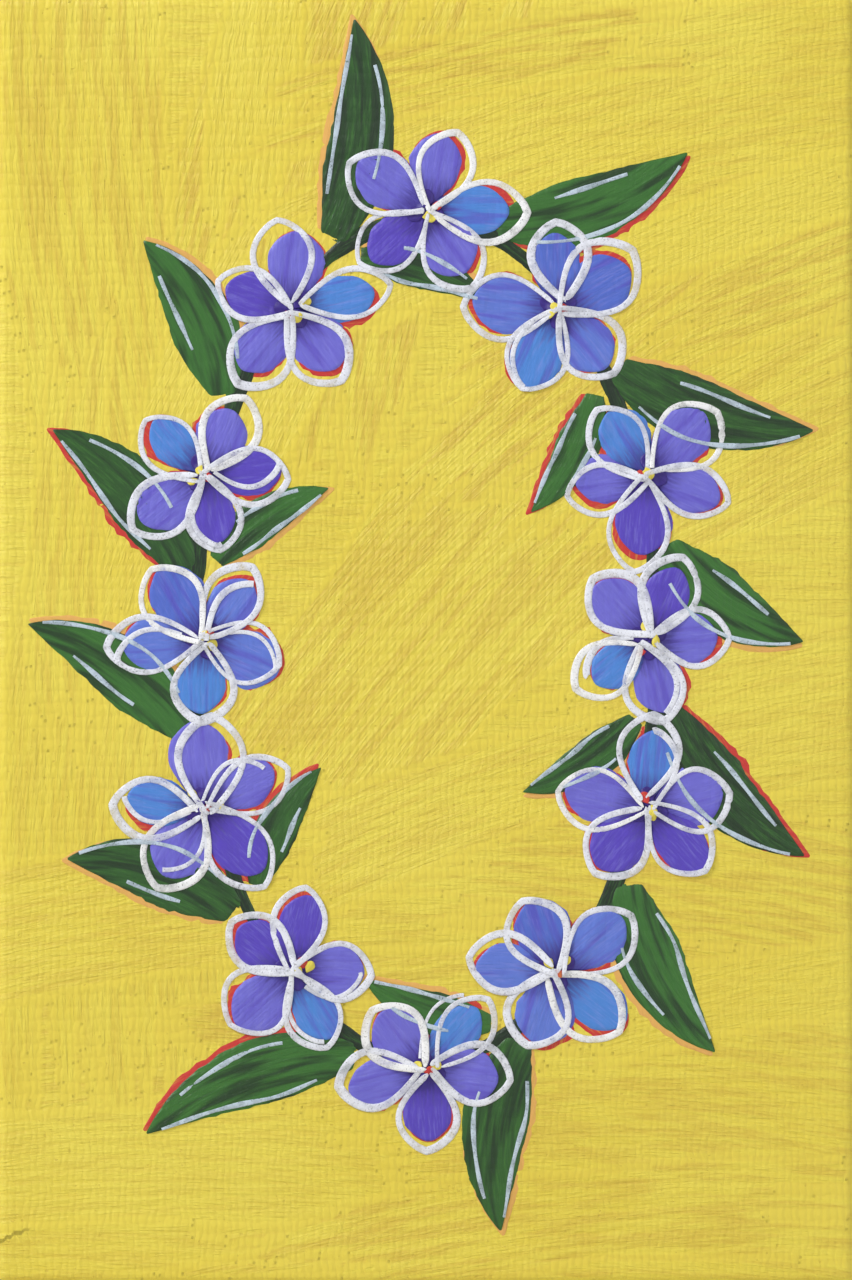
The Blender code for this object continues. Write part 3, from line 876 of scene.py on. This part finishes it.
def marker_tree():
    """Geometry nodes: a low bead of paint along each curve, as wide as its radius."""
    tree = bpy.data.node_groups.new("Marker bead", "GeometryNodeTree")
    face = tree.interface
    face.new_socket("Geometry", in_out="INPUT", socket_type="NodeSocketGeometry")
    face.new_socket("Flatness", in_out="INPUT", socket_type="NodeSocketFloat")
    face.new_socket("Sides", in_out="INPUT", socket_type="NodeSocketInt")
    face.new_socket("Material", in_out="INPUT", socket_type="NodeSocketMaterial")
    face.new_socket("Geometry", in_out="OUTPUT", socket_type="NodeSocketGeometry")
    build = Tree(tree)
    start = tree.nodes.new("NodeGroupInput").outputs
    normal = build.add("GeometryNodeSetCurveNormal", {"Curve": start["Geometry"], "Normal": (0, -1, 0)},
                       mode="FREE").outputs[0]
    circle = build.add("GeometryNodeCurvePrimitiveCircle", {"Resolution": start["Sides"], "Radius": 1.0})
    squash = build.add("ShaderNodeCombineXYZ", {0: start["Flatness"], 1: 1.0, 2: 1.0}).outputs[0]
    profile = build.add("GeometryNodeTransform", {"Geometry": circle.outputs[0], "Scale": squash}).outputs[0]
    radius = build.add("GeometryNodeInputRadius").outputs[0]
    bead = build.add("GeometryNodeCurveToMesh", {"Curve": normal, "Profile Curve": profile,
                                                 "Scale": radius, "Fill Caps": True}).outputs[0]
    whole = build.add("GeometryNodeRealizeInstances", {"Geometry": bead}).outputs[0]
    made = build.add("GeometryNodeSetMaterial", {"Geometry": whole, "Material": start["Material"]}).outputs[0]
    end = tree.nodes.new("NodeGroupOutput")
    tree.links.new(made, end.inputs["Geometry"])
    return tree


def set_input(modifier, label, value):
    """Set a geometry nodes input by its socket's identifier."""
    for item in modifier.node_group.interface.items_tree:
        if item.item_type == "SOCKET" and item.in_out == "INPUT" and item.name == label:
            modifier[item.identifier] = value
            return
    raise RuntimeError(f"no input named {label}")


def curve_from(name, lines):
    """Curve object of open lines; each is its points and radii in millimetres."""
    curve = bpy.data.curves.new(name, "CURVE")
    curve.dimensions = "3D"
    for points, radii in lines:
        spline = curve.splines.new("POLY")
        spline.points.add(len(points) - 1)
        for point, place, radius in zip(spline.points, points, radii):
            point.co = (*(c * MM for c in place), 1)
            point.radius = radius * MM
    guide = bpy.data.objects.new(name + "_guide", curve)
    bpy.context.scene.collection.objects.link(guide)
    return guide


def meshed(guide, tree, inputs, name):
    """Run a geometry nodes tree on a guide, and keep its result as a plain mesh."""
    modifier = guide.modifiers.new("shape", "NODES")
    modifier.node_group = tree
    for label, value in inputs.items():
        set_input(modifier, label, value)
    bpy.context.view_layer.update()
    evaluated = guide.evaluated_get(bpy.context.evaluated_depsgraph_get())
    mesh = bpy.data.meshes.new_from_object(evaluated)
    mesh.name = name
    bpy.data.objects.remove(guide)
    return mesh


def on_paint(x, z, radii, flatness, paint):
    """Seat a line on the paint below it, smoothed so that it doesn't jump at edges."""
    height = paint.top(x, z, 1)
    kernel = np.array([1, 2, 3, 2, 1]) / 9
    height = np.convolve(np.pad(height, 2, mode="edge"), kernel, mode="valid")
    y = -(HALF_T + height + 0.2 * flatness * radii)
    return np.stack([x, y, z], -1)


def petal_loop(root, heading, length, width, rng, marker):
    """One quick loop of the marker round a petal: out along one side, back by the other."""
    count = 44
    t = np.linspace(0.02 + 0.05 * rng.random(), 0.98 + 0.07 * rng.random(), count)
    share = 0.5 - 0.5 * np.cos(2 * math.pi * t)
    grow = 1.02 + 0.16 * rng.random()
    half = width / 2 * (1.0 + 0.22 * rng.random()) * np.sin(math.pi * share ** 1.3) ** 0.7
    side = 1 - 2 * smooth(t, 0.44, 0.56)
    along = share * length * grow
    lean = heading + rng.normal(0, 0.07)
    off = rng.normal(0, 0.45, 2)
    x = root[0] + off[0] + along * math.sin(lean) + side * half * math.cos(lean)
    z = root[1] + off[1] + along * math.cos(lean) - side * half * math.sin(lean)
    press = 0.75 + 0.35 * np.sin(math.pi * t) + 0.12 * np.sin(2 * math.pi * (t * 1.5 + rng.random()))
    ends = smooth(t, t[0], t[0] + 0.04) * smooth(-t, -t[-1], -t[-1] + 0.04)
    radii = marker / 2 * (0.72 + 0.5 * rng.random()) * press * (0.35 + 0.65 * ends)
    return x, z, radii


def make_marker_lines(context):
    """White loops round the petals, off their edges, and pale lines along the leaves."""
    sizes, colours = context.scene.canvas_sizes, context.scene.paint_colours
    paint, _ = relief()
    rng = np.random.default_rng(sizes.seed + 11)
    flatness, marker = 0.20, sizes.marker_width / MM
    bead = marker_tree()
    loops, bright = [], []
    for number, (_, petals) in enumerate(petal_list()):
        for p, (root, heading, length, width) in enumerate(petals):
            x, z, radii = petal_loop(root, heading, length, width, rng, marker)
            home = bright if rng.random() < 0.16 else loops
            home.append((on_paint(x, z, radii, flatness, paint), radii))
            if rng.random() < 0.28:
                x, z, radii = petal_loop(root, heading, length * 0.9, width * 0.8, rng, marker * 0.8)
                half = len(x) // 2
                part = slice(4, half) if rng.random() < 0.5 else slice(half, len(x) - 4)
                loops.append((on_paint(x[part], z[part], radii[part], flatness, paint), radii[part]))
    leaf_lines = []
    for node, root, heading, length, width, curl in leaf_list(sizes):
        side = 1 if rng.random() < 0.5 else -1
        for start, end, out in ((0.18, 0.93, 0.80), (0.30, 0.62 + 0.2 * rng.random(), -0.62)):
            share = np.linspace(start, end, 34)
            fine = np.linspace(0, 1, 200)
            run_x = np.cumsum(np.sin(heading + curl * fine)) / 200 * length
            run_z = np.cumsum(np.cos(heading + curl * fine)) / 200 * length
            angle = heading + curl * share
            off = side * out * leaf_profile(width)(share) * (1 + 0.06 * np.sin(9 * share + root[0]))
            x = root[0] + np.interp(share, fine, run_x) + off * np.cos(angle)
            z = root[1] + np.interp(share, fine, run_z) - off * np.sin(angle)
            press = 0.55 + 0.30 * np.sin(math.pi * (share - start) / (end - start))
            radii = marker * 0.42 * press * (1 + 0.2 * np.sin(23 * share + root[1]))
            leaf_lines.append((on_paint(x, z, radii, flatness, paint), radii))
    for name, lines, colour, slot in (
            ("white_marker_loops", loops, colours.white, "petal_violet"),
            ("bright_marker_loops", bright, (0.93, 0.93, 0.94), "petal_violet"),
            ("pale_leaf_lines", leaf_lines, colours.pale_blue, "leaf_green")):
        material = marker_material(name + "_paint", tuple(colour))
        guide = curve_from(name, lines)
        mesh = meshed(guide, bead, {"Flatness": flatness, "Sides": 10, "Material": material}, name)
        finish_mesh(name, mesh, material, [])


def make_dabs(context):
    """Small dabs of yellow and red at the blossoms' hearts."""
    sizes, colours = context.scene.canvas_sizes, context.scene.paint_colours
    paint, grain = relief()
    rng = np.random.default_rng(sizes.seed + 5)
    films = Films(paint, grain)
    laid = []
    for number, (_, petals) in enumerate(petal_list()):
        x, z = petals[0][0]
        for d in range(3):
            heading = rng.random() * 6.28
            off = rng.normal(0, 0.7, 2)
            colour = np.array(colours.lemon if d else colours.red)
            laid.append(films.blade((x + off[0], z + off[1]), heading, 1.0 + 0.8 * rng.random(), 0.3,
                                    petal_profile(0.9 + 0.5 * rng.random()), 0.12, colour,
                                    600 + 5 * number + d, 12, 8, 0.10))
    films.settle(laid)
    finish_mesh("heart_dabs", films.mesh("heart_dabs"), plain_film_material(sizes, colours), [])


# ---------------------------------------------------------------- cloth and stretcher

def ring_points(inset, y, spacing=3.0):
    """One loop round the canvas at a depth, with its flat outward run; sharp once inset."""
    radius = max(ARRIS_R - inset, 0.0)
    pull = max(inset, ARRIS_R)
    corner_x, corner_z = HALF_W - pull, HALF_H - pull
    points = []
    corners = ((1, 1), (1, -1), (-1, -1), (-1, 1))
    for index, (sx, sz) in enumerate(corners):
        start = math.pi / 2 * index
        for k in range(5):
            angle = start + math.pi / 2 * k / 4
            points.append((sx * corner_x + radius * math.sin(angle), y,
                           sz * corner_z + radius * math.cos(angle), math.sin(angle), math.cos(angle)))
        nx, nz = corners[(index + 1) % 4]
        a = points[-1]
        b = (nx * corner_x + radius * math.sin(start + math.pi / 2), y,
             nz * corner_z + radius * math.cos(start + math.pi / 2))
        count = int(2 * (HALF_H if sx == nx else HALF_W) / spacing)
        for k in range(1, count):
            share = k / count
            points.append((a[0] + (b[0] - a[0]) * share, y, a[2] + (b[2] - a[2]) * share,
                           math.sin(start + math.pi / 2), math.cos(start + math.pi / 2)))
    return np.array(points)


def make_cloth(context):
    """Cloth over the face, round the edges and in behind, with a ragged cut edge."""
    sizes, colours = context.scene.canvas_sizes, context.scene.paint_colours
    _, grain = relief()
    turnover = sizes.turnover / MM
    rings, run = [], 0.0
    stations = [(ARRIS_R * (1 - math.sin(a)), -HALF_T + ARRIS_R * (1 - math.cos(a)))
                for a in np.linspace(0, math.pi / 2, 6)]
    stations += [(0.0, y) for y in np.linspace(-HALF_T + ARRIS_R, HALF_T - ARRIS_R, 8)[1:-1]]
    stations += [(ARRIS_R * (1 - math.cos(a)), HALF_T - ARRIS_R * (1 - math.sin(a)))
                 for a in np.linspace(0, math.pi / 2, 6)]
    stations += [(inset, HALF_T) for inset in np.linspace(ARRIS_R, turnover, 9)[1:]]
    previous = stations[0]
    flats, primed = [], []
    for index, (inset, y) in enumerate(stations):
        ring = ring_points(inset, y)
        run += math.dist(previous, (inset, y))
        previous = (inset, y)
        base = ring_points(ARRIS_R, y)
        if index == len(stations) - 1:
            wobble = 0.45 * grain(base[:, 0], base[:, 2], 1.3)
            ring[:, 0] += wobble * ring[:, 3]
            ring[:, 2] += wobble * ring[:, 4]
        if inset > ARRIS_R:
            lump = 0.12 * (1 + grain(ring[:, 0], ring[:, 2], 7.0))
            ring[:, 1] += lump * smooth(inset, ARRIS_R, 4.0)
        rings.append(np.column_stack([ring[:, 0], ring[:, 1], ring[:, 2] + HALF_H]))
        flats.append(np.column_stack([base[:, 0] + run * ring[:, 3], base[:, 2] + run * ring[:, 4]]))
        primed.append(np.full(len(ring), float(smooth(run, 21.0, 17.0))))
    count = len(rings[0])
    points = np.concatenate(rings)
    faces = [tuple(range(count))[::-1]]
    for r in range(len(rings) - 1):
        for k in range(count):
            a, b = r * count + k, r * count + (k + 1) % count
            faces.append((a, b, b + count, a + count))
    mesh = mesh_from("canvas_cloth", points, faces, np.concatenate(flats))
    layer = mesh.attributes.new(name="primed", type="FLOAT", domain="POINT")
    layer.data.foreach_set("value", np.concatenate(primed).astype(np.float32))
    bm = bmesh.new()
    bm.from_mesh(mesh)
    bmesh.ops.remove_doubles(bm, verts=bm.verts, dist=1e-6)
    bmesh.ops.recalc_face_normals(bm, faces=bm.faces)
    bm.to_mesh(mesh)
    bm.free()
    material = cloth_material(sizes, colours)
    STATE["cloth_material"] = material
    cloth = finish_mesh("canvas_cloth", mesh, material, ["canvas"])
    thicken = cloth.modifiers.new("cloth thickness", "SOLIDIFY")
    thicken.thickness = 0.45 * MM
    thicken.offset = -1.0
    edge = rings[-1]
    return cloth, edge, run


def fold_mesh(name, corners, thickness, out):
    """Flat folded layer of cloth: its outline, raised and rounded at the rim."""
    bm = bmesh.new()
    base = [bm.verts.new([c * MM for c in corner]) for corner in corners]
    face = bm.faces.new(base)
    solid = bmesh.ops.extrude_face_region(bm, geom=[face])
    moved = [v for v in solid["geom"] if isinstance(v, bmesh.types.BMVert)]
    bmesh.ops.translate(bm, verts=moved, vec=[c * thickness * MM for c in out])
    bmesh.ops.recalc_face_normals(bm, faces=bm.faces)
    bmesh.ops.bevel(bm, geom=list(bm.edges), offset=0.16 * MM, segments=2, profile=0.5, affect="EDGES")
    mesh = bpy.data.meshes.new(name)
    layer = bm.loops.layers.uv.new("flat")
    for made in bm.faces:
        for loop in made.loops:
            co = loop.vert.co / MM
            side = abs(out[0]) > 0.5
            loop[layer].uv = (co.y if side else co.x, co.z)
    bm.to_mesh(mesh)
    bm.free()
    return mesh


def make_folds(context):
    """Folded corners: a tapering layer on each edge, and a mitred one behind."""
    bm = bmesh.new()
    for sx in (-1, 1):
        for sz in (-1, 1):
            z0 = HALF_H + sz * (HALF_H - 0.9)
            reach = z0 - sz * 13.5
            side_x = sx * HALF_W
            side = [(side_x, -HALF_T + 1.4, z0), (side_x, HALF_T - 0.8, z0), (side_x, HALF_T - 0.8, reach)]
            back_y = HALF_T + 0.10
            x0 = sx * (HALF_W - 1.1)
            back = [(x0, back_y, z0), (x0, back_y, z0 - sz * 12.0), (x0 - sx * 10.5, back_y, z0 - sz * 12.4),
                    (x0 - sx * 11.0, back_y, z0 - sz * 11.2)]
            for corners, out in ((side, (sx, 0, 0)), (back, (0, 1, 0))):
                piece = fold_mesh("fold", corners, 0.5, out)
                bm.from_mesh(piece)
                bpy.data.meshes.remove(piece)
    mesh = bpy.data.meshes.new("corner_folds")
    bm.to_mesh(mesh)
    bm.free()
    layer = mesh.attributes.new(name="primed", type="FLOAT", domain="POINT")
    values = [1.0 if abs(v.co.x) / MM > HALF_W - 0.5 else 0.1 for v in mesh.vertices]
    layer.data.foreach_set("value", values)
    folds = finish_mesh("corner_folds", mesh, STATE["cloth_material"], [])
    for polygon in folds.data.polygons:
        polygon.use_smooth = False
    return folds


def fray_tree():
    """Geometry nodes: short bent threads at random along the cut edge."""
    tree = bpy.data.node_groups.new("Frayed edge", "GeometryNodeTree")
    face = tree.interface
    for label, kind in (("Geometry", "NodeSocketGeometry"), ("Count", "NodeSocketInt"),
                        ("Thread", "NodeSocketFloat"), ("Longest", "NodeSocketFloat"),
                        ("Seed", "NodeSocketInt"), ("Material", "NodeSocketMaterial")):
        face.new_socket(label, in_out="INPUT", socket_type=kind)
    face.new_socket("Geometry", in_out="OUTPUT", socket_type="NodeSocketGeometry")
    build = Tree(tree)
    start = tree.nodes.new("NodeGroupInput").outputs
    spread = build.add("GeometryNodeCurveToPoints", {"Curve": start["Geometry"], "Count": start["Count"]},
                       mode="COUNT").outputs[0]
    jitter = build.add("FunctionNodeRandomValue", {0: (-0.0006, -0.00005, -0.0006), 1: (0.0006, 0.0002, 0.0006),
                       "Seed": start["Seed"]}, data_type="FLOAT_VECTOR").outputs[0]
    spread = build.add("GeometryNodeSetPosition", {"Geometry": spread, "Offset": jitter}).outputs[0]
    line = build.add("GeometryNodeCurvePrimitiveBezierSegment",
                     {"Resolution": 6, "Start": (0, 0, 0), "Start Handle": (0.35, 0.10, 0.02),
                      "End Handle": (0.7, -0.12, 0.12), "End": (1.0, 0.05, 0.22)}).outputs[0]
    ring = build.add("GeometryNodeCurvePrimitiveCircle", {"Resolution": 5, "Radius": start["Thread"]}).outputs[0]
    strand = build.add("GeometryNodeCurveToMesh", {"Curve": line, "Profile Curve": ring,
                                                   "Fill Caps": True}).outputs[0]
    turn = build.add("FunctionNodeRandomValue", {0: (-0.35, 0.0, -0.25), 1: (0.35, 6.28, 0.15),
                     "Seed": start["Seed"]}, data_type="FLOAT_VECTOR").outputs[0]
    short = build.add("ShaderNodeMath", {0: start["Longest"], 1: 0.35}, operation="MULTIPLY").outputs[0]
    size = build.add("FunctionNodeRandomValue", {2: short, 3: start["Longest"], "Seed": start["Seed"]},
                     data_type="FLOAT").outputs[1]
    placed = build.add("GeometryNodeInstanceOnPoints", {"Points": spread, "Instance": strand,
                       "Rotation": turn, "Scale": size}).outputs[0]
    whole = build.add("GeometryNodeRealizeInstances", {"Geometry": placed}).outputs[0]
    made = build.add("GeometryNodeSetMaterial", {"Geometry": whole, "Material": start["Material"]}).outputs[0]
    end = tree.nodes.new("NodeGroupOutput")
    tree.links.new(made, end.inputs["Geometry"])
    return tree


def make_fray(context, edge):
    sizes, colours = context.scene.canvas_sizes, context.scene.paint_colours
    material = thread_material(colours)
    closed = np.concatenate([edge, edge[:1]])
    guide = curve_from("fray", [(closed, np.ones(len(closed)) / MM)])
    mesh = meshed(guide, fray_tree(), {"Count": sizes.fray_threads, "Thread": 0.06, "Longest": 2.4 * MM,
                                       "Seed": sizes.seed, "Material": material}, "frayed_threads")
    return finish_mesh("frayed_threads", mesh, material, [])


# ---------------------------------------------------------------- operators

class CANVAS_OT_cloth(bpy.types.Operator):
    """Wrap the cloth round the stretcher, with folded corners and a frayed edge"""
    bl_idname = "canvas.cloth"
    bl_label = "Cloth"

    def execute(self, context):
        cloth, edge, run = make_cloth(context)
        folds = make_folds(context)
        threads = make_fray(context, edge)
        return {"FINISHED"}


class CANVAS_OT_ground(bpy.types.Operator):
    """Brush the yellow ground over the face and its edges"""
    bl_idname = "canvas.ground"
    bl_label = "Ground"

    def execute(self, context):
        make_ground(context)
        return {"FINISHED"}


class CANVAS_OT_wreath(bpy.types.Operator):
    """Paint the underpaint, the vine and its leaves"""
    bl_idname = "canvas.wreath"
    bl_label = "Vine and leaves"

    def execute(self, context):
        make_underpaint(context)
        make_vine(context)
        make_leaves(context)
        return {"FINISHED"}


class CANVAS_OT_blossoms(bpy.types.Operator):
    """Paint the blossoms, petal by petal, and their hearts"""
    bl_idname = "canvas.blossoms"
    bl_label = "Blossoms"

    def execute(self, context):
        make_blossoms(context)
        make_dabs(context)
        return {"FINISHED"}


class CANVAS_OT_marker(bpy.types.Operator):
    """Draw the white and pale marker lines"""
    bl_idname = "canvas.marker"
    bl_label = "Marker lines"

    def execute(self, context):
        make_marker_lines(context)
        return {"FINISHED"}


class CANVAS_OT_stretcher(bpy.types.Operator):
    """Finish the bars, keys and staples of the frame"""
    bl_idname = "canvas.stretcher"
    bl_label = "Stretcher"

    def execute(self, context):
        colours = context.scene.paint_colours
        level = pine_material("pine_level", colours, False)
        upright = pine_material("pine_upright", colours, True)
        wire = staple_material()
        for name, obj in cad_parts.items():
            if name.startswith("staple"):
                material = wire
            elif name in BARS or name.startswith("key_"):
                material = level if "rail" in name else upright
            else:
                continue
            obj.data.materials.clear()
            obj.data.materials.append(material)
        return {"FINISHED"}


class CANVAS_OT_stage(bpy.types.Operator):
    """Set the pale floor, the soft lights and the camera"""
    bl_idname = "canvas.stage"
    bl_label = "Stage"

    def execute(self, context):
        make_stage(context)
        return {"FINISHED"}


def area_light(name, place, target, size, power):
    lamp = bpy.data.lights.new(name, "AREA")
    lamp.shape = "SQUARE"
    lamp.size = size
    lamp.energy = power
    obj = bpy.data.objects.new(name, lamp)
    obj.location = place
    direction = target - obj.location
    obj.rotation_euler = direction.to_track_quat("-Z", "Y").to_euler()
    bpy.context.scene.collection.objects.link(obj)


def make_stage(context):
    scene = context.scene
    low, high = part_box("canvas")
    middle = (low + high) / 2
    bm = bmesh.new()
    bmesh.ops.create_grid(bm, x_segments=1, y_segments=1, size=3.0)
    mesh = bpy.data.meshes.new("floor")
    bm.to_mesh(mesh)
    bm.free()
    floor = bpy.data.objects.new("floor", mesh)
    floor.location.z = low.z
    scene.collection.objects.link(floor)
    material, tree, shader = new_material("pale_floor", 0.8, 0.2)
    shader.inputs["Base Color"].default_value = (0.80, 0.80, 0.79, 1)
    mesh.materials.append(material)

    world = bpy.data.worlds.new("soft_room")
    world.use_nodes = True
    tree = Tree(world.node_tree)
    background = world.node_tree.nodes["Background"]
    background.inputs["Color"].default_value = (1, 1, 1, 1)
    path = tree.add("ShaderNodeLightPath")
    seen = tree.math("MAXIMUM", path.outputs["Is Camera Ray"], path.outputs["Is Glossy Ray"])
    strength = tree.mix(seen, 0.42, 0.82)
    world.node_tree.links.new(strength, background.inputs["Strength"])
    scene.world = world

    area_light("key", Vector((-0.75, -0.5, 0.75)), middle, 0.3, 8.5)
    area_light("fill", Vector((0.8, -0.9, 0.35)), middle, 0.9, 2.6)
    area_light("behind", Vector((0.5, 1.0, 0.8)), middle, 0.8, 4.0)

    view_height = (high.z - low.z) * FACE_SHARE
    camera = bpy.data.cameras.new("camera")
    camera.sensor_width = 36.0
    camera.lens = camera.sensor_width * CAMERA_DISTANCE / view_height
    obj = bpy.data.objects.new("camera", camera)
    obj.location = (middle.x, low.y - CAMERA_DISTANCE, middle.z)
    obj.rotation_euler = (math.pi / 2, 0, 0)
    scene.collection.objects.link(obj)
    scene.camera = obj
    scene.view_settings.view_transform = "Standard"


class CANVAS_PT_panel(bpy.types.Panel):
    """Lists the steps that make the canvas"""
    bl_idname = "CANVAS_PT_panel"
    bl_label = "Stretched canvas"
    bl_space_type = "VIEW_3D"
    bl_region_type = "UI"
    bl_category = "Canvas"

    def draw(self, context):
        for step in STEPS:
            self.layout.operator(step.bl_idname)
        for name in CanvasSizes.__annotations__:
            self.layout.prop(context.scene.canvas_sizes, name)
        for name in PaintColours.__annotations__:
            self.layout.prop(context.scene.paint_colours, name)


STEPS = (CANVAS_OT_cloth, CANVAS_OT_ground, CANVAS_OT_wreath, CANVAS_OT_blossoms,
         CANVAS_OT_marker, CANVAS_OT_stretcher, CANVAS_OT_stage)
CLASSES = (CanvasSizes, PaintColours, *STEPS, CANVAS_PT_panel)


def register():
    for cls in CLASSES:
        bpy.utils.register_class(cls)
    bpy.types.Scene.canvas_sizes = PointerProperty(type=CanvasSizes)
    bpy.types.Scene.paint_colours = PointerProperty(type=PaintColours)


def unregister():
    del bpy.types.Scene.paint_colours
    del bpy.types.Scene.canvas_sizes
    for cls in reversed(CLASSES):
        bpy.utils.unregister_class(cls)


def main():
    register()
    bpy.ops.canvas.cloth()
    bpy.ops.canvas.ground()
    bpy.ops.canvas.wreath()
    bpy.ops.canvas.blossoms()
    bpy.ops.canvas.marker()
    bpy.ops.canvas.stretcher()
    bpy.ops.canvas.stage()


if __name__ == "__main__":
    main()
